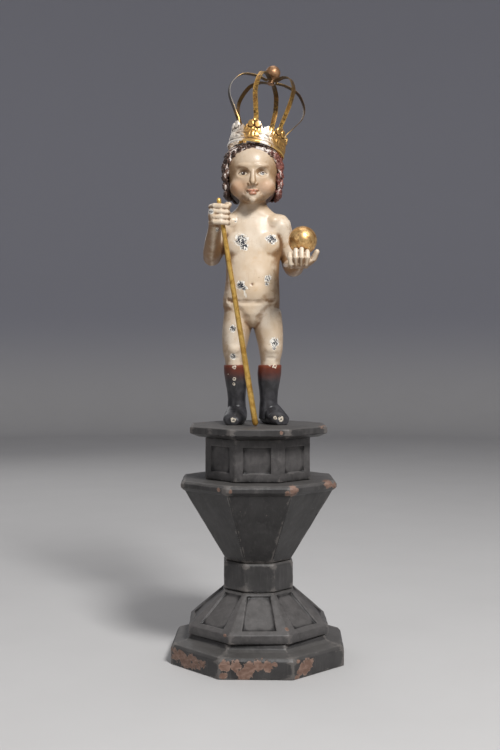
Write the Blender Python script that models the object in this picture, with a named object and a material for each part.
"""A carved and painted infant figure with a metal crown, a gilded orb and a gilded staff, on a stacked
eight-sided wooden plinth. Metres, +Z up, the origin under the middle of the foot slab; the figure faces -Y."""

import math

import bmesh
import bpy
import numpy as np
from mathutils import Euler, Matrix, Vector

MM = 0.001
JOINT_GAP = 0.3 * MM  # between two pieces that rest on each other

# The plinth's blocks, from the floor up. Widths are across two opposite flats.
BLOCK_SIDES = 8
FOOT_WIDTH = 157 * MM
FOOT_FASCIA = 15.5 * MM
FOOT_BEVEL = 3 * MM
FOOT_LEDGE = 11 * MM
FOOT_LEDGE_RISE = 2 * MM
COVE_DEPTH = 4.5 * MM
COVE_HEIGHT = 5.8 * MM
SKIRT_WIDTH = 127.5 * MM
SKIRT_HEIGHT = 38.5 * MM
SKIRT_RIM = 7.8 * MM
SKIRT_NECK = 61 * MM
COLLAR_WIDTH = 63.8 * MM
COLLAR_HEIGHT = 26 * MM
COLLAR_BEVEL = 1.8 * MM
FUNNEL_WIDTH = 141.5 * MM
FUNNEL_HEIGHT = 75 * MM
FUNNEL_FOOT = 59.3 * MM
FUNNEL_RIM = 6 * MM
FUNNEL_ROUND = 2.6 * MM
DRUM_WIDTH = 95.6 * MM
DRUM_HEIGHT = 38.4 * MM
TOP_WIDTH = 124.7 * MM
TOP_THICKNESS = 6.6 * MM
TOP_BEVEL = 0.9 * MM
MOULDING_HEIGHT = 3.3 * MM
MOULDING_OVERHANG = 5.5 * MM
PANEL_DEPTH = 1.6 * MM
PANEL_SLOPE = 0.8 * MM
BLOCK_TURNS = (-1.8, 0.6, 1.6, 0.8, -1.6, 0.7)  # degrees: the blocks were glued up by hand

# The figure is carved in shares of its own height, from the soles to the top of the skull.
FIGURE_HEIGHT = 262 * MM
FIGURE_SHARES = 262
FIGURE_SETBACK = 12 * MM  # of the body's axis behind the plinth's
FIGURE_OFFSET = -5 * MM  # of the body's axis to its own right of the plinth's
SOFT_GRAIN = 1.2  # shares of the height: how closely the tool follows trunk, limbs and head
SOFT_PASSES = 12
FINE_GRAIN = 1.0  # and how closely it follows hands, hair, face and boots
FINE_PASSES = 3
CARVING_FACES = 5750

ORB_DIAMETER = 25.6 * MM
STAFF_FOOT_DIAMETER = 5.4 * MM
STAFF_TOP_DIAMETER = 4.0 * MM
STAFF_ABOVE_FIST = 13 * MM

# The crown, in its own upright frame with the rim's lower edge at height zero.
CROWN_RIM_DIAMETER = 53.6 * MM
CROWN_EDGE_DIAMETER = 52.2 * MM
BAND_HEIGHT = 14.5 * MM
BAND_WALL = 1.2 * MM
BAND_ROLL = 1.3 * MM
BAND_RIB = 0.55 * MM
BAND_SEGMENTS = 48
CREST_SCALLOP = 3.6 * MM
CREST_PALMETTE = 8 * MM
BOSS_WIDTH = 6 * MM
BOSS_HEIGHT = 7 * MM
BOSS_SPREAD = 14.5  # degrees between the two bosses of a palmette
ARCH_WIDTH = 4.6 * MM
ARCH_THICKNESS = 0.9 * MM
ARCH_RISE = 73.5 * MM
ARCHES = [  # degrees round the crown at the foot and at the belly, then how far out the belly stands
    (257, 250, 34 * MM), (319, 310, 36 * MM), (10, 17, 38.5 * MM),
    (66, 73, 33 * MM), (133, 141, 34 * MM), (206, 200, 38.5 * MM),
]
CROWN_BALL_DIAMETER = 14 * MM
CROWN_STEM_DIAMETER = 7 * MM
CROWN_STEM_HEIGHT = 3.2 * MM
CROWN_LEAN_SIDE = 12  # degrees towards the figure's own left
CROWN_LEAN_BACK = 12  # degrees backwards

share = FIGURE_HEIGHT / FIGURE_SHARES

# Rings of the carving: a centre, then half widths across and along the depth, all in shares.
TORSO = [
    ((0, 0, 90), 4.5, 8.5), ((0, 0.5, 93), 10.5, 12.5), ((-0.5, 1.0, 97), 18.0, 16.0),
    ((-1.0, 1.0, 102), 23.8, 18.6), ((-1.3, 1.0, 109), 26.6, 20.0), ((-1.2, 0.2, 117), 26.6, 20.2),
    ((-0.6, -1.0, 126), 25.6, 20.2), ((-0.2, -1.6, 136), 24.8, 19.4), ((0, -1.0, 147), 24.8, 18.4),
    ((0, -0.2, 158), 26.2, 17.8), ((0, 0.4, 168), 27.8, 17.0), ((0, 1.0, 177), 28.2, 15.6),
    ((0, 1.2, 185), 27.8, 13.8), ((0, 1.3, 190), 26.8, 12.6), ((0, 1.3, 194.5), 23.5, 11.8),
    ((0, 0.8, 198.5), 18.0, 11.2), ((0, 0, 202.5), 13.8, 11.0), ((0, -1.0, 207), 12.2, 11.0),
    ((0, -2.0, 213), 12.0, 11.0),
]
LEG = [
    ((12.7, 2.0, 106), 13.9, 16.5), ((13.4, 1.8, 98), 14.1, 16.2), ((14.5, 1.2, 90), 13.9, 15.4),
    ((15.7, 0.8, 82), 13.0, 14.2), ((16.5, 0.3, 75), 12.0, 13.0), ((17.0, 0, 69), 11.2, 12.2),
    ((17.0, 0.2, 64), 10.4, 11.2), ((16.7, 0.8, 58.5), 9.2, 10.2), ((16.3, 1.4, 52), 9.0, 10.0),
]
BOOT = [
    ((16.2, 1.2, 54.8), 10.9, 11.5), ((15.7, 2.0, 47), 11.2, 11.9), ((15.3, 2.4, 38), 10.2, 10.9),
    ((15.1, 2.5, 30), 8.9, 9.8), ((15.0, 2.6, 22), 8.3, 9.6), ((14.9, 2.4, 14), 8.7, 10.4),
    ((14.8, 2.0, 4), 9.2, 11.4),
]
FOOT_SECTIONS = [  # distance from the heel, half width, height
    (0, 5.5, 10), (3, 8.0, 15), (11, 9.4, 21), (19, 9.8, 18.5), (27, 10.0, 14), (34, 9.3, 10.5), (39.5, 6.0, 7),
]
FEET = {"left": ((12.6, 15.5), 22), "right": ((-12.8, 15), -9)}  # heel, and degrees that the toes turn out
LEFT_ARM = [
    ((24.5, 1, 184.5), 11.6), ((30, 3.5, 170), 9.2), ((34, 6, 157), 8.3), ((36, 5, 148.5), 8.3),
    ((37.5, -6, 144.5), 8.0), ((39, -20, 143.5), 7.3), ((40.5, -34, 144.5), 6.2), ((42, -42, 146), 6.0),
]
RIGHT_ARM = [
    ((-24.5, 1, 184.5), 11.6), ((-30.5, 4, 170), 9.2), ((-36, 7, 160), 8.4), ((-38.3, 6.5, 155.5), 8.5),
    ((-38, -6, 160), 8.2), ((-36.5, -20, 168.5), 7.4), ((-34.5, -33, 178), 6.1), ((-34, -38, 184), 5.8),
]
BODY_SWELLS = [  # centre, radii
    ((-0.5, -7.5, 124), (20, 14.8, 18)), ((11, -8.5, 165), (14.5, 9, 12)), ((-11, -8.5, 165), (14.5, 9, 12)),
    ((11.5, 11, 103), (13, 12.5, 13.5)), ((-12.5, 11, 103), (13, 12.5, 13.5)),
    ((17.2, -6.5, 70), (7.5, 7, 7)), ((-17.2, -6.5, 70), (7.5, 7, 7)),
]
HEAD_SWELLS = [
    ((0, -2, 237), (24.3, 26.5, 25.5)), ((0, -8, 224), (21.5, 20.5, 20)), ((0, -17.5, 210.5), (10, 9, 7.5)),
    ((10.5, -14.5, 218.5), (10.8, 11, 10)), ((-10.5, -14.5, 218.5), (10.8, 11, 10)),
]
EYE_SPACING = 8.7
EYE_LINE = 229.5
MOUTH_LINE = 212.8
NOSE = [((0, -26.0, 234), 2.0), ((0, -27.8, 227.5), 2.1), ((0, -29.5, 221.3), 2.7)]
FACE_SWELLS = [
    ((2.7, -27.8, 219.9), (1.9, 2.4, 1.7)), ((-2.7, -27.8, 219.9), (1.9, 2.4, 1.7)),
    ((1.8, -25.6, MOUTH_LINE + 1.2), (3.1, 2.4, 1.4)), ((-1.8, -25.6, MOUTH_LINE + 1.2), (3.1, 2.4, 1.4)),
    ((0, -25.2, MOUTH_LINE - 1.4), (3.6, 2.5, 1.5)), ((0, -22.0, 206.3), (4.6, 4.0, 3.4)),
]
FINGER_THICKNESS = 2.5  # half of it, in shares
LEFT_FINGERS = [(32.8, 153.7, -59.5), (37.8, 156.7, -63.0), (42.8, 157.4, -64.2), (47.9, 155.4, -62.5)]
RIGHT_FINGERS = (196.8, 192.0, 187.3, 182.9)
ORB_SEAT = (44.3, -52.0, 153.3)  # where the orb's underside rests over the palm
STAFF_FOOT = (2.7, -36.0)
STAFF_GRIP = (-28.3, -44.4, 190.0)
CROWN_SEAT = (2.6, 0.0, 252.4)

# Hair: strands laid over an egg round the skull, from a whorl under the crown down to the jaw.
HAIR_CENTRE = (0, -1, 236)
HAIR_RADII = (24.8, 26.5, 26.0)
HAIR_TAPER = 0.10
STRANDS_PER_SIDE = 8
STRAND_THICKNESS = 3.7
STRAND_WAVES = 3.4
STRAND_SWAY = 1.9
STRAND_TOP = 258
STRAND_END = 212
HAIRLINE = [  # height, half the width of the face's opening
    (253, 2), (251, 6), (248.5, 12), (245.5, 16.5), (241, 19.5), (235, 21.8), (228, 22.8), (218, 22.4), (210, 21),
    (204, 18.5),
]
HAIR_MASS = [
    ((0, 12, 207), 14.0, 10.0), ((0, 9, 213), 20.0, 15.5), ((0, 6, 223), 23.4, 19.5), ((0, 3, 236), 24.4, 22.5),
]
CURLS = [  # side of the face in degrees from the front, height, reach
    (-34, 251.5, 3.0), (-12, 253.5, 3.0), (9, 253.5, 3.0), (30, 251.5, 3.0), (-52, 243.5, 3.8), (50, 243.0, 3.8),
    (-66, 233.5, 4.3), (64, 233, 4.3), (-70, 222.5, 4.4), (69, 222, 4.4), (-72, 212.5, 4.2), (71, 212.5, 4.2),
    (95, 226, 4.4), (-97, 226, 4.4), (100, 214, 4.2), (-101, 214, 4.2), (132, 219, 4.4), (-133, 219, 4.4),
    (150, 210, 4.0), (-150, 210, 4.0), (180, 215, 4.4),
]

FLESH = (0.62, 0.50, 0.36)
DARK_PAINT = (0.045, 0.045, 0.045)
GILDING = (0.62, 0.40, 0.13)
WORN_METAL = (0.55, 0.38, 0.16)


def material(name, colour, roughness, metallic=0.0):
    """One painted or gilded finish."""
    finish = bpy.data.materials.new(name)
    finish.use_nodes = True
    shader = finish.node_tree.nodes["Principled BSDF"]
    shader.inputs["Base Color"].default_value = (*colour, 1)
    shader.inputs["Roughness"].default_value = roughness
    shader.inputs["Metallic"].default_value = metallic
    return finish


def add_object(name, bm, finish, smooth_angle=None):
    """Turns a bmesh into an object of the scene."""
    bmesh.ops.recalc_face_normals(bm, faces=bm.faces)
    mesh = bpy.data.meshes.new(name)
    bm.to_mesh(mesh)
    bm.free()
    if smooth_angle is not None:
        mesh.shade_smooth()
        mesh.set_sharp_from_angle(angle=math.radians(smooth_angle))
    if finish:
        mesh.materials.append(finish)
    piece = bpy.data.objects.new(name, mesh)
    bpy.context.scene.collection.objects.link(piece)
    return piece


def ring(bm, frame, half_width, half_depth, sides):
    """A closed loop of edges whose flats lie at the half sizes, in the frame's own XY plane."""
    reach = 1 / math.cos(math.pi / sides)
    sized = frame @ Matrix.Diagonal((half_width * reach, half_depth * reach, 1, 1))
    turned = sized @ Matrix.Rotation(math.pi / sides, 4, "Z")
    made = bmesh.ops.create_circle(bm, segments=sides, radius=1, matrix=turned)
    return list(dict.fromkeys(edge for vert in made["verts"] for edge in vert.link_edges))


def bridge(bm, loops):
    """Joins rings into a skin, with a cap on each end."""
    for lower, upper in zip(loops, loops[1:]):
        bmesh.ops.bridge_loops(bm, edges=lower + upper)
    bmesh.ops.contextual_create(bm, geom=loops[0])
    bmesh.ops.contextual_create(bm, geom=loops[-1])


def turned_ring(bm, profile, frame, segments):
    """Spins a closed profile of (radius, height) round the frame's Z."""
    verts = [bm.verts.new(frame @ Vector((radius, 0, height))) for radius, height in profile]
    edges = [bm.edges.new(pair) for pair in zip(verts, verts[1:] + verts[:1])]
    axis = frame.to_3x3() @ Vector((0, 0, 1))
    bmesh.ops.spin(
        bm, geom=verts + edges, cent=frame.translation, axis=axis, angle=2 * math.pi, steps=segments, use_merge=True,
    )


def frame_at(point, direction, side):
    """A frame whose Z runs along direction and whose X lies as near side as it can."""
    along = direction.normalized()
    across = (side - along * side.dot(along)).normalized()
    depth = along.cross(across)
    rows = Matrix((across, depth, along)).transposed().to_4x4()
    return Matrix.Translation(point) @ rows


def directions(points):
    """The way a path runs at each of its points."""
    last = len(points) - 1
    return [points[min(i + 1, last)] - points[max(i - 1, 0)] for i in range(last + 1)]


def upright_form(bm, sections, sides=20):
    """A form of level rings, such as a trunk or a leg: sections of centre, half width and half depth."""
    bridge(bm, [ring(bm, Matrix.Translation(c), w, d, sides) for c, w, d in sections])


def round_form(bm, sections, sides=12):
    """A limb, finger or lock: sections of centre and radius, with domed ends."""
    points = [Vector(c) for c, _ in sections]
    ways = directions(points)
    side = Vector((1, 0, 0)) if abs(ways[0].normalized().x) < 0.8 else Vector((0, 0, 1))
    frames = []
    for i, (point, way) in enumerate(zip(points, ways)):
        if i:
            side = ways[i - 1].rotation_difference(way) @ side
        frames.append((frame_at(point, way, side), sections[i][1]))
    loops = []
    for angle in (75, 40):
        drop = Matrix.Translation((0, 0, -frames[0][1] * math.sin(math.radians(angle))))
        loops.append(ring(bm, frames[0][0] @ drop, *[frames[0][1] * math.cos(math.radians(angle))] * 2, sides))
    loops += [ring(bm, frame, radius, radius, sides) for frame, radius in frames]
    for angle in (40, 75):
        rise = Matrix.Translation((0, 0, frames[-1][1] * math.sin(math.radians(angle))))
        loops.append(ring(bm, frames[-1][0] @ rise, *[frames[-1][1] * math.cos(math.radians(angle))] * 2, sides))
    bridge(bm, loops)


def swell(bm, centre, radii, fineness=3):
    """An egg that swells the form, such as a cheek, a belly or a knuckle."""
    sized = Matrix.Translation(centre) @ Matrix.Diagonal((*radii, 1))
    bmesh.ops.create_icosphere(bm, subdivisions=fineness, radius=1, matrix=sized)


def between(table, value):
    """Reads a table of (value, result) pairs, which falls in value, with straight steps between its rows."""
    values = [row[0] for row in table][::-1]
    results = [row[1] for row in table][::-1]
    return float(np.interp(value, values, results))


# Plinth


def octagon_block(name, profile, floor, turn, finish):
    """One eight-sided block: profile is (width across the flats, height over the block's underside)."""
    bm = bmesh.new()
    loops = []
    for width, height in profile:
        frame = Matrix.Translation((0, 0, floor + height)) @ Matrix.Rotation(math.radians(turn), 4, "Z")
        loops.append(ring(bm, frame, width / 2, width / 2, BLOCK_SIDES))
    bridge(bm, loops)
    return add_object(name, bm, finish)


def sink_panels(block, low, high, margins):
    """Sinks a panel into each side face between two heights. Margins are shares of the face: side at its
    lower edge, side at its upper edge, bottom and top."""
    side_low, side_high, bottom, top = margins
    bm = bmesh.new()
    bm.from_mesh(block.data)
    bm.normal_update()
    faces = [
        f for f in bm.faces
        if len(f.verts) == 4 and low < f.calc_center_median().z < high and abs(f.normal.z) < 0.95
    ]
    for face in faces:
        corners = sorted((v.co.copy() for v in face.verts), key=lambda c: c.z)
        outward = face.normal.copy()
        across = Vector((0, 0, 1)).cross(outward)
        low_a, low_b = sorted(corners[:2], key=across.dot)
        high_a, high_b = sorted(corners[2:], key=across.dot)
        wanted = [
            low_a.lerp(low_b, side_low).lerp(high_a.lerp(high_b, side_low), bottom),
            low_b.lerp(low_a, side_low).lerp(high_b.lerp(high_a, side_low), bottom),
            high_b.lerp(high_a, side_high).lerp(low_b.lerp(low_a, side_high), top),
            high_a.lerp(high_b, side_high).lerp(low_a.lerp(low_b, side_high), top),
        ]
        bmesh.ops.inset_individual(bm, faces=[face], thickness=PANEL_SLOPE)
        for vert in face.verts:
            is_low = vert.co.z < (low_a.z + high_a.z) / 2
            is_a = vert.co.dot(across) < (low_a.dot(across) + low_b.dot(across)) / 2
            vert.co = wanted[(0 if is_a else 1) if is_low else (3 if is_a else 2)]
        bmesh.ops.inset_individual(bm, faces=[face], thickness=PANEL_SLOPE, depth=-PANEL_DEPTH)
    bmesh.ops.recalc_face_normals(bm, faces=bm.faces)
    bm.to_mesh(block.data)
    bm.free()


def plinth(finish):
    """Six blocks, each standing on the one below. Returns the height of the top slab's face."""
    cove_width = FOOT_WIDTH - 2 * FOOT_LEDGE - FOOT_BEVEL
    foot_ledge = FOOT_FASCIA + FOOT_BEVEL + FOOT_LEDGE_RISE
    rim_in = FUNNEL_WIDTH - 2 * FUNNEL_ROUND
    rim_foot = FUNNEL_HEIGHT - FUNNEL_RIM - FUNNEL_ROUND
    moulding = TOP_WIDTH - 2 * MOULDING_OVERHANG
    blocks = [
        ("plinth_base", [
            (FOOT_WIDTH, 0), (FOOT_WIDTH, FOOT_FASCIA), (FOOT_WIDTH - 1.6 * FOOT_BEVEL, FOOT_FASCIA + FOOT_BEVEL),
            (cove_width, foot_ledge), (cove_width - 1.4 * COVE_DEPTH, foot_ledge + COVE_HEIGHT / 3),
            (cove_width - 2 * COVE_DEPTH, foot_ledge + COVE_HEIGHT),
        ]),
        ("plinth_skirt", [(SKIRT_WIDTH, 0), (SKIRT_WIDTH, SKIRT_RIM), (SKIRT_NECK, SKIRT_HEIGHT)]),
        ("plinth_collar", [
            (COLLAR_WIDTH - COLLAR_BEVEL, 0), (COLLAR_WIDTH, COLLAR_BEVEL / 2),
            (COLLAR_WIDTH, COLLAR_HEIGHT - COLLAR_BEVEL), (COLLAR_WIDTH - 2 * COLLAR_BEVEL, COLLAR_HEIGHT),
        ]),
        ("plinth_funnel", [
            (FUNNEL_FOOT, 0), (rim_in - FUNNEL_ROUND, rim_foot - FUNNEL_ROUND / 4), (rim_in, rim_foot),
            (FUNNEL_WIDTH, rim_foot + FUNNEL_ROUND), (FUNNEL_WIDTH, FUNNEL_HEIGHT - FUNNEL_ROUND),
            (rim_in, FUNNEL_HEIGHT),
        ]),
        ("plinth_drum", [(DRUM_WIDTH, 0), (DRUM_WIDTH, DRUM_HEIGHT)]),
        ("plinth_top", [
            (moulding - MOULDING_OVERHANG, 0), (moulding, MOULDING_HEIGHT / 3),
            (TOP_WIDTH - TOP_BEVEL, MOULDING_HEIGHT), (TOP_WIDTH, MOULDING_HEIGHT + TOP_BEVEL),
            (TOP_WIDTH, MOULDING_HEIGHT + TOP_THICKNESS - TOP_BEVEL),
            (TOP_WIDTH - 2 * TOP_BEVEL, MOULDING_HEIGHT + TOP_THICKNESS),
        ]),
    ]
    floor = 0.0
    for (name, profile), turn in zip(blocks, BLOCK_TURNS):
        block = octagon_block(name, profile, floor, turn, finish)
        if name == "plinth_skirt":
            sink_panels(block, floor + SKIRT_RIM, floor + SKIRT_HEIGHT, (0.2, 0.13, 0.12, 0.08))
        if name == "plinth_drum":
            sink_panels(block, floor, floor + DRUM_HEIGHT, (0.19, 0.19, 0.2, 0.2))
        floor += profile[-1][1] + JOINT_GAP
    return floor


# Figure


def strand_point(turn, height, lift=0.0):
    """A point over the hair's egg: turn in radians from the front towards the figure's left."""
    cx, cy, cz = HAIR_CENTRE
    rx, ry, rz = HAIR_RADII
    rise = (height - cz) / rz
    girth = math.sqrt(max(0.0, 1 - rise * rise)) if rise > 0 else 1 - HAIR_TAPER * rise * rise
    return Vector((
        cx + (rx * girth + lift) * math.sin(turn),
        cy - (ry * girth + lift) * math.cos(turn),
        height,
    ))


def hairline_turn(height):
    """How far round from the front the hair starts at a height, in radians."""
    opening = between(HAIRLINE, height)
    girth = abs(strand_point(math.pi / 2, height).x)
    return math.asin(min(0.97, opening / max(girth, 1)))


def hair_strand(bm, side, rank, steps=22):
    """One wavy lock from the whorl to the jaw. Rank runs from 0 at the face to 1 at the nape."""
    phase = rank * STRANDS_PER_SIDE * 2.1 + side
    sections = []
    for i in range(steps):
        along = i / (steps - 1)
        height = STRAND_TOP + (STRAND_END + 3 * math.sin(phase) - STRAND_TOP) * along ** 1.15
        start = hairline_turn(height) + 0.12
        sway = STRAND_SWAY / HAIR_RADII[0] * math.sin(2 * math.pi * STRAND_WAVES * along + phase)
        turn = side * (start + (math.pi - start) * rank + sway)
        lift = 0.9 * math.sin(2 * math.pi * STRAND_WAVES * along + phase + 1.2)
        radius = STRAND_THICKNESS * (0.75 + 0.3 * math.sin(math.pi * min(1, along * 1.1)))
        sections.append((strand_point(turn, height, lift), radius * (1 - 0.25 * along ** 6)))
    round_form(bm, sections, sides=8)


def hair_curl(bm, degrees, height, size, steps=11):
    """A snail of hair lying on the head: one and a quarter turns that tighten and rise."""
    turn = math.radians(degrees)
    centre = strand_point(turn, height, 1.2)
    outward = Vector((math.sin(turn), -math.cos(turn), 0))
    across = Vector((0, 0, 1)).cross(outward)
    spin = 1 if degrees > 0 else -1
    sections = []
    for i in range(steps):
        along = i / (steps - 1)
        angle = spin * (2.6 * math.pi * along) - math.pi / 2
        reach = size * (1 - along) + 0.4
        point = centre + (across * math.cos(angle) + Vector((0, 0, 1)) * math.sin(angle)) * reach
        sections.append((point + outward * 2.2 * along, 2.0 - 0.4 * along))
    round_form(bm, sections, sides=8)


def carve_hair(bm):
    """The mass of hair, its strands and the curls that stand out from it."""
    upright_form(bm, HAIR_MASS)
    swell(bm, (0, 2, 236.5), (HAIR_RADII[0], HAIR_RADII[1] - 3, HAIR_RADII[2] - 0.5))
    for side in (-1, 1):
        for i in range(STRANDS_PER_SIDE):
            hair_strand(bm, side, i / (STRANDS_PER_SIDE - 0.5))
    for degrees, height, size in CURLS:
        hair_curl(bm, degrees, height, size)


def carve_foot(bm, heel, toe_out):
    """A boot's foot: sections stand across a line from the heel to the toes."""
    way = Vector((math.sin(math.radians(toe_out)), -math.cos(math.radians(toe_out)), 0))
    across = Vector((math.cos(math.radians(toe_out)), math.sin(math.radians(toe_out)), 0))
    loops = []
    for distance, half_width, height in FOOT_SECTIONS:
        point = Vector((*heel, 0.42 * height)) + way * distance
        loops.append(ring(bm, frame_at(point, way, across), half_width, 0.58 * height, 16))
    bridge(bm, loops)


def carve_left_hand(bm):
    """The palm under the orb, with four fingers curled up in front and the thumb outside."""
    swell(bm, (43, -49, 147.2), (10.5, 11.5, 5.2))
    swell(bm, (41, -56, 146.0), (10.0, 6.0, 5.0))
    for x, top, depth in LEFT_FINGERS:
        base = 41 + (x - 41) * 0.85
        round_form(bm, [
            ((base, -54, 143.5), FINGER_THICKNESS + 0.3), ((base, -61.5, 145), FINGER_THICKNESS + 0.1),
            ((x, depth - 2.2, 150), FINGER_THICKNESS), ((x, depth, top), FINGER_THICKNESS - 0.3),
        ], sides=10)
    round_form(bm, [((50, -45, 147), 3.4), ((54.5, -49, 150.5), 3.0), ((57, -52, 156), 2.5)], sides=10)


def carve_right_hand(bm):
    """The fist round the staff: the palm on the outer side, fingers across the front, thumb over the top."""
    swell(bm, (-35, -42.5, 189.5), (5.2, 8.0, 9.6))
    swell(bm, (-30, -43.8, 189.5), (7.5, 5.5, 9.2))
    for z in RIGHT_FINGERS:
        round_form(bm, [
            ((-37.6, -43.5, z), FINGER_THICKNESS), ((-34.2, -48.6, z + 0.3), FINGER_THICKNESS + 0.1),
            ((-28.3, -49.8, z), FINGER_THICKNESS), ((-23.2, -47.6, z - 0.4), FINGER_THICKNESS - 0.1),
            ((-21.9, -43.2, z - 0.6), FINGER_THICKNESS - 0.3),
        ], sides=10)
    round_form(bm, [
        ((-32, -37.5, 190), 3.2), ((-26.5, -38.5, 196), 2.9), ((-22.5, -42.5, 199), 2.6), ((-21, -46.5, 198.5), 2.3),
    ], sides=10)


def soft_forms(bm):
    """Trunk, limbs and head, which run into each other."""
    upright_form(bm, TORSO, sides=28)
    for centre, radii in BODY_SWELLS + HEAD_SWELLS:
        swell(bm, centre, radii)
    for side in (-1, 1):
        upright_form(bm, [((side * x, y, z), w, d) for (x, y, z), w, d in LEG])
    for arm in (LEFT_ARM, RIGHT_ARM):
        round_form(bm, arm, sides=16)


def fine_forms(bm):
    """What stands on the body with its own edges: boots, hands, hair and the nose and lips."""
    for side in (-1, 1):
        upright_form(bm, [((side * x, y, z), w, d) for (x, y, z), w, d in BOOT])
    for heel, toe_out in FEET.values():
        carve_foot(bm, heel, toe_out)
    carve_left_hand(bm)
    carve_right_hand(bm)
    round_form(bm, NOSE)
    for centre, radii in FACE_SWELLS:
        swell(bm, centre, radii)
    carve_hair(bm)


def merged(bm, grain, passes):
    """One skin round all the forms, smoothed a number of times."""
    block = add_object("carving", bm, None)
    merge = block.modifiers.new("merge", "REMESH")
    merge.mode = "VOXEL"
    merge.voxel_size = grain
    soften = block.modifiers.new("soften", "SMOOTH")
    soften.factor = 0.5
    soften.iterations = passes
    skin = bpy.data.meshes.new_from_object(block.evaluated_get(bpy.context.evaluated_depsgraph_get()))
    bpy.data.objects.remove(block)
    return skin


def carved_block():
    """The whole carving in shares of its height: the soft forms first, then the fine ones on them."""
    bm = bmesh.new()
    soft_forms(bm)
    soft = merged(bm, SOFT_GRAIN, SOFT_PASSES)
    bm = bmesh.new()
    bm.from_mesh(soft)
    fine_forms(bm)
    return merged(bm, FINE_GRAIN, FINE_PASSES)


def press(points, normals, centre, reach, depth):
    """Pushes the surface in by depth at the centre, fading out at the reach; a negative depth pulls it out."""
    distance = np.linalg.norm((points - np.array(centre)) / np.array(reach), axis=1)
    fade = np.clip(1 - distance ** 2, 0, 1) ** 2
    return points - normals * (fade * depth)[:, None]


def cut_groove(points, normals, path, width, depth):
    """Cuts a groove along a path of points."""
    nearest = np.full(len(points), 1e9)
    path = [np.array(p, float) for p in path]
    for start, end in zip(path, path[1:]):
        run = end - start
        share_along = np.clip((points - start) @ run / (run @ run), 0, 1)
        nearest = np.minimum(nearest, np.linalg.norm(points - start - share_along[:, None] * run, axis=1))
    fade = np.clip(1 - (nearest / width) ** 2, 0, 1) ** 2
    return points - normals * (fade * depth)[:, None]


def detail_carving(points, normals):
    """Eyes, mouth and the folds of a child's body."""
    for side in (-1, 1):
        points = press(points, normals, (side * EYE_SPACING, -25.5, EYE_LINE + 0.8), (7.0, 9, 4.8), 2.4)
        points = press(points, normals, (side * EYE_SPACING, -25, EYE_LINE), (4.6, 8, 3.0), -1.9)
        points = press(points, normals, (side * 7, -24, EYE_LINE + 6.5), (9, 8, 3.4), -0.9)
    lips = [(-4.6, -28, MOUTH_LINE + 0.3), (0, -29, MOUTH_LINE), (4.6, -28, MOUTH_LINE + 0.3)]
    points = cut_groove(points, normals, lips, 1.2, 0.8)
    fold = [(-23, -12, 114.5), (-12, -19, 112.5), (0, -21, 112), (12, -19, 112.5), (22, -12, 114.5)]
    points = cut_groove(points, normals, fold, 3.8, 0.9)
    for side in (-1, 1):
        groin = [(side * 0.5, -12, 92), (side * 4, -15, 96.5), (side * 11, -17.5, 104), (side * 19, -14, 111.5)]
        points = cut_groove(points, normals, groin, 3.8, 1.2)
        points = cut_groove(points, normals, [(side * 3, 19, 89), (side * 20, 17, 90)], 3.5, 1.2)
    points = cut_groove(points, normals, [(0, 22, 90), (0, 24, 114)], 4.5, 3.0)
    points = cut_groove(points, normals, [(0, -19, 154), (0, -17, 176)], 8, 0.5)
    points = cut_groove(points, normals, [(0, 19, 122), (0, 18, 176)], 6, 1.0)
    return press(points, normals, (-0.5, -22, 129), (2.6, 5, 2.6), 1.8)


def figure(top_face, finish, cutter):
    """The carved child. The cutter clears the soles, the staff's hole, the orb's seat and the crown's seat."""
    carved = carved_block()
    count = len(carved.vertices)
    points, normals = np.empty(count * 3), np.empty(count * 3)
    carved.vertices.foreach_get("co", points)
    carved.vertices.foreach_get("normal", normals)
    points = detail_carving(points.reshape(-1, 3), normals.reshape(-1, 3))
    points = points * share + np.array((FIGURE_OFFSET, FIGURE_SETBACK, top_face))
    carved.vertices.foreach_set("co", points.ravel())
    carved.update()
    carved.materials.append(finish)
    block = bpy.data.objects.new("figure", carved)
    bpy.context.scene.collection.objects.link(block)
    facets = sum(len(face.vertices) - 2 for face in carved.polygons)
    thin = block.modifiers.new("thin", "DECIMATE")
    thin.ratio = CARVING_FACES / facets
    clear = block.modifiers.new("clear", "BOOLEAN")
    clear.operation = "DIFFERENCE"
    clear.object = cutter
    return block


def on_figure(point, top_face):
    """A point of the carving, in shares, as a place in the room."""
    return Vector(point) * share + Vector((FIGURE_OFFSET, FIGURE_SETBACK, top_face))


# Staff and orb


def staff_line(top_face):
    """The staff's foot and top, on the line through the fist."""
    foot = on_figure((*STAFF_FOOT, 0), top_face)
    grip = on_figure(STAFF_GRIP, top_face)
    return foot, grip + (grip - foot).normalized() * STAFF_ABOVE_FIST


def staff(top_face, finish):
    """A hand-shaved rod, thicker at its rounded foot."""
    foot, top = staff_line(top_face)
    foot_radius, top_radius = STAFF_FOOT_DIAMETER / 2, STAFF_TOP_DIAMETER / 2
    way = (top - foot).normalized()
    start = foot + way * foot_radius
    bm = bmesh.new()
    steps = 6
    sections = [
        (start.lerp(top, i / steps), foot_radius + (top_radius - foot_radius) * (i / steps)) for i in range(steps + 1)
    ]
    round_form(bm, sections, sides=12)
    return add_object("staff", bm, finish, 40)


def orb(top_face, finish):
    """A turned ball that rests over the palm."""
    bm = bmesh.new()
    radius = ORB_DIAMETER / 2
    place = Matrix.Translation(on_figure(ORB_SEAT, top_face) + Vector((0, 0, radius)))
    bmesh.ops.create_uvsphere(bm, u_segments=18, v_segments=10, radius=radius, matrix=place)
    return add_object("orb", bm, finish, 60)


# Crown


def crown_frame(top_face):
    """The crown's own frame: it leans back and towards the figure's left."""
    lean = Euler((-math.radians(CROWN_LEAN_BACK), math.radians(CROWN_LEAN_SIDE), 0), "XYZ").to_matrix().to_4x4()
    return Matrix.Translation(on_figure(CROWN_SEAT, top_face)) @ lean


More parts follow.
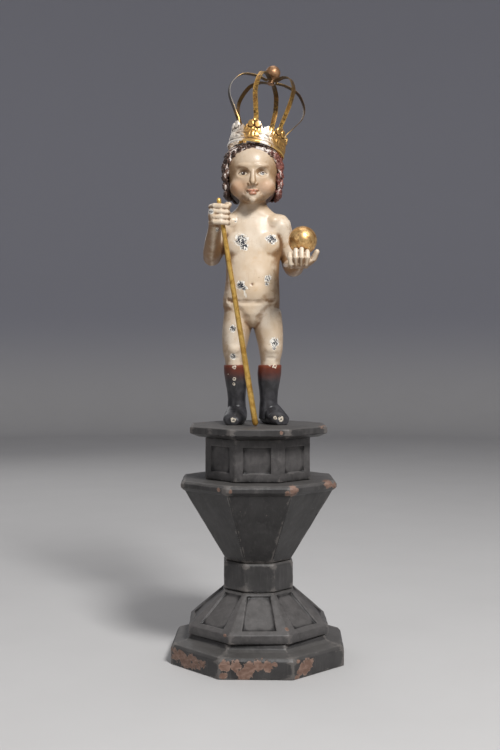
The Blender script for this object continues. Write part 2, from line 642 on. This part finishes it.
def crest(angle):
    """How far the band's edge stands over its plain height: scallops, and a palmette at each arch."""
    from_arch = min(abs(math.remainder(angle - math.radians(foot), 2 * math.pi)) for foot, _, _ in ARCHES)
    palmette = max(0.0, 1 - (from_arch / 0.29) ** 2) ** 0.5
    scallop = abs(math.sin(from_arch * 9))
    return max(CREST_PALMETTE * palmette, CREST_SCALLOP * scallop)


def crown_band(frame, finish):
    """The embossed band, with a roll at its lower edge, a rib, a scalloped edge and a palmette at each arch."""
    rim, edge = CROWN_RIM_DIAMETER / 2, CROWN_EDGE_DIAMETER / 2
    rib_height = 0.68 * BAND_HEIGHT
    outer = [
        (rim, 0), (rim + BAND_ROLL / 2, BAND_ROLL / 2), (rim + BAND_ROLL / 2, 1.5 * BAND_ROLL), (rim, 2 * BAND_ROLL),
        (edge + 0.3 * (rim - edge), rib_height - BAND_RIB), (edge + BAND_RIB + 0.3 * (rim - edge), rib_height),
        (edge + 0.2 * (rim - edge), rib_height + BAND_RIB), (edge, BAND_HEIGHT),
    ]
    inner = [(edge - BAND_WALL, BAND_HEIGHT), (rim - BAND_WALL, 0)]
    bm = bmesh.new()
    turned_ring(bm, outer + inner, frame, BAND_SEGMENTS)
    into = frame.inverted()
    up = frame.to_3x3() @ Vector((0, 0, 1))
    for vert in bm.verts:
        local = into @ vert.co
        if local.z > BAND_HEIGHT - 0.1 * MM:
            vert.co += up * crest(math.atan2(local.y, local.x))
    band = add_object("crown_band", bm, finish, 40)
    ornament = band.modifiers.new("ornament", "BOOLEAN")
    ornament.operation = "UNION"
    ornament.object = band_ornament(frame)
    return band


def band_ornament(frame):
    """Two bosses on each palmette and a leaf under them, as one helper to join to the band."""
    edge = CROWN_EDGE_DIAMETER / 2
    bm = bmesh.new()
    for foot, _, _ in ARCHES:
        for side in (-1, 1):
            turn = Matrix.Rotation(math.radians(foot + side * BOSS_SPREAD / 2), 4, "Z")
            level = Matrix.Translation((edge + 0.15 * MM, 0, BAND_HEIGHT + 0.4 * CREST_PALMETTE))
            sized = frame @ turn @ level @ Matrix.Diagonal((1.15 * MM, BOSS_WIDTH / 2, BOSS_HEIGHT / 2, 1))
            bmesh.ops.create_uvsphere(bm, u_segments=8, v_segments=4, radius=1, matrix=sized)
    helper = add_object("ornament_helper", bm, None)
    helper.hide_render = True
    helper.display_type = "WIRE"
    return helper


def through(knots, steps):
    """Points on a smooth curve through the knots."""
    knots = [Vector(k) for k in knots]
    ends = [knots[0] * 2 - knots[1], *knots, knots[-1] * 2 - knots[-2]]
    path = []
    for i in range(steps):
        place = i / (steps - 1) * (len(knots) - 1)
        k = min(int(place), len(knots) - 2)
        t = place - k
        a, b, c, d = ends[k:k + 4]
        bend = (a * 2 - b * 5 + c * 4 - d) * t * t + (b * 3 - a - c * 3 + d) * t ** 3
        path.append((b * 2 + (c - a) * t + bend) / 2)
    return path


def arch_path(foot, belly, reach, steps=14):
    """The arch's middle line as (radius, height, degrees round the crown): up, outwards, over and to the stem."""
    start = CROWN_EDGE_DIAMETER / 2 - BAND_WALL - JOINT_GAP - ARCH_THICKNESS / 2
    end = CROWN_STEM_DIAMETER / 2 + JOINT_GAP + ARCH_THICKNESS / 4
    return through([
        (start, 0.6 * BAND_HEIGHT, foot), (start, BAND_HEIGHT + CREST_PALMETTE, foot),
        (start + 0.4 * (reach - start), 0.45 * ARCH_RISE, (foot + belly) / 2),
        (start + 0.93 * (reach - start), 0.63 * ARCH_RISE, belly), (0.98 * reach, 0.79 * ARCH_RISE, belly),
        (0.76 * reach, 0.95 * ARCH_RISE, belly), (0.42 * reach, ARCH_RISE, belly), (end, 0.985 * ARCH_RISE, foot),
    ], steps)


def crown_arch(number, frame, finish):
    """One bent strip. Its ends are narrower, so that six can meet at the stem."""
    path = arch_path(*ARCHES[number])
    turns = [frame @ Matrix.Rotation(math.radians(p.z), 4, "Z") for p in path]
    points = [turn @ Vector((p.x, 0, p.y)) for turn, p in zip(turns, path)]
    sides = [turn.to_3x3() @ Vector((0, 1, 0)) for turn in turns]
    bm = bmesh.new()
    loops = []
    for point, way, side, p in zip(points, directions(points), sides, path):
        width = min(ARCH_WIDTH, 0.92 * p.x)
        loops.append(ring(bm, frame_at(point, way, side), width / 2, ARCH_THICKNESS / 2, 4))
    bridge(bm, loops)
    return add_object(f"crown_arch_{number + 1}", bm, finish, 40)


def crown_ball(frame, finish):
    """The ball, on a short stem that the arches meet."""
    radius, stem = CROWN_BALL_DIAMETER / 2, CROWN_STEM_DIAMETER / 2
    height = 0.985 * ARCH_RISE
    bm = bmesh.new()
    sink = math.sqrt(radius ** 2 - stem ** 2)
    centre = height + CROWN_STEM_HEIGHT + sink
    profile = [(stem, height - 2 * MM), (stem, height + CROWN_STEM_HEIGHT)]
    start = math.asin(-sink / radius)
    steps = 7
    for i in range(1, steps):
        angle = start + (math.radians(84) - start) * i / (steps - 1)
        profile.append((radius * math.cos(angle), centre + radius * math.sin(angle)))
    bridge(bm, [ring(bm, frame @ Matrix.Translation((0, 0, z)), r, r, 14) for r, z in profile])
    return add_object("crown_ball", bm, finish, 50)


def clearance_cutter(top_face):
    """Everything that the figure must leave free: the slab, the staff, the orb and the crown's band."""
    bm = bmesh.new()
    slab = TOP_WIDTH / 2
    lower = ring(bm, Matrix.Translation((0, 0, top_face - 12 * MM)), slab, slab, 8)
    upper = ring(bm, Matrix.Translation((0, 0, top_face)), slab, slab, 8)
    bridge(bm, [lower, upper])
    foot, top = staff_line(top_face)
    way = (top - foot).normalized()
    side = Vector((1, 0, 0))
    reach = STAFF_FOOT_DIAMETER / 2
    bar = []
    for along in (20 * MM, (top - foot).length + 6 * MM):
        mixed = along / (top - foot).length
        radius = reach + (STAFF_TOP_DIAMETER / 2 - reach) * mixed + JOINT_GAP
        bar.append(ring(bm, frame_at(foot + way * along, way, side), radius, radius, 14))
    bridge(bm, bar)
    radius = ORB_DIAMETER / 2
    centre = on_figure(ORB_SEAT, top_face) + Vector((0, 0, radius))
    sphere = radius + 2 * JOINT_GAP
    bmesh.ops.create_uvsphere(bm, u_segments=24, v_segments=14, radius=sphere, matrix=Matrix.Translation(centre))
    frame = crown_frame(top_face)
    rim, edge = CROWN_RIM_DIAMETER / 2 - BAND_WALL, CROWN_EDGE_DIAMETER / 2 - BAND_WALL
    inner_gap = 2 * JOINT_GAP + ARCH_THICKNESS
    profile = [
        (rim - inner_gap, -JOINT_GAP), (rim + 12 * MM, -JOINT_GAP), (rim + 12 * MM, 30 * MM), (edge - inner_gap, 30 * MM),
    ]
    turned_ring(bm, profile, frame, 40)
    cutter = add_object("clearance_cutter", bm, None)
    cutter.hide_render = True
    cutter.display_type = "WIRE"
    return cutter


def main():
    for old in list(bpy.data.objects):
        bpy.data.objects.remove(old)
    dark = material("dark_paint", DARK_PAINT, 0.55)
    flesh = material("flesh_paint", FLESH, 0.4)
    gilding = material("gilding", GILDING, 0.35, 0.8)
    metal = material("worn_metal", WORN_METAL, 0.4, 0.9)
    top_face = plinth(dark)
    figure(top_face, flesh, clearance_cutter(top_face))
    staff(top_face, gilding)
    orb(top_face, gilding)
    frame = crown_frame(top_face)
    crown_band(frame, metal)
    for number in range(len(ARCHES)):
        crown_arch(number, frame, metal)
    crown_ball(frame, metal)


main()
